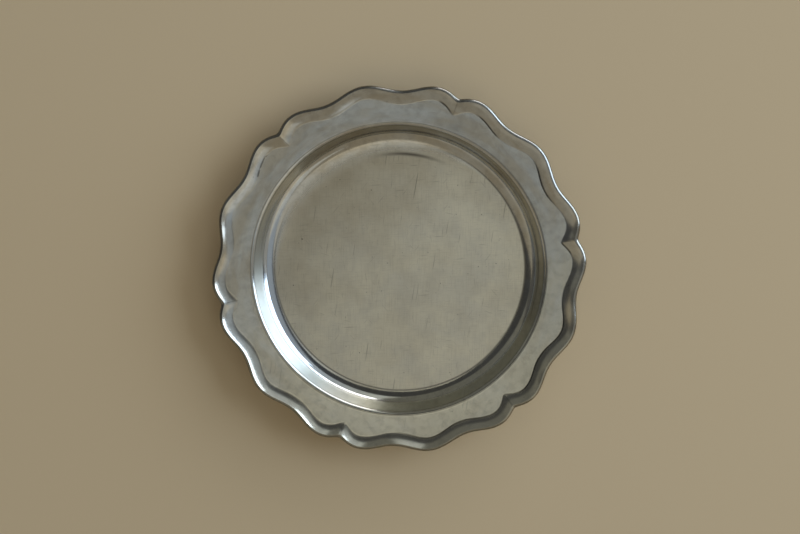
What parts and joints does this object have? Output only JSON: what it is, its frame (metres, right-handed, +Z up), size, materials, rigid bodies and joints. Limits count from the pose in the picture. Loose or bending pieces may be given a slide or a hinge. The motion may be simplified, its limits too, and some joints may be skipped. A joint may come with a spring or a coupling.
{
  "type": "paten plate",
  "caption": "Round shallow paten plate in worn pewter with a flat well, a plain flange and a wavy lobed border of mitred mouldings.",
  "frame": {"origin": "centre of the flat underside, where the plate rests", "axes": "+Z up along the plate's axis, out of the dish; +X and +Y lie in the rest plane, and the first notch of the border is 10.25 degrees from +X towards +Y"},
  "size_m": [0.2494, 0.246, 0.0208],
  "materials": {
    "dish_pewter": "aged pewter: dull satin well with fine scratches, smoother flange and wall",
    "border_pewter": "aged pewter: worn bright on the ridge and the lip, dark along the inner crease and the mitres"
  },
  "bodies": {
    "root": {"plate_body": "dish_pewter", "border_section_1": "border_pewter", "border_section_2": "border_pewter", "border_section_3": "border_pewter", "border_section_4": "border_pewter", "border_section_5": "border_pewter", "border_section_6": "border_pewter"}
  },
  "joints": []
}
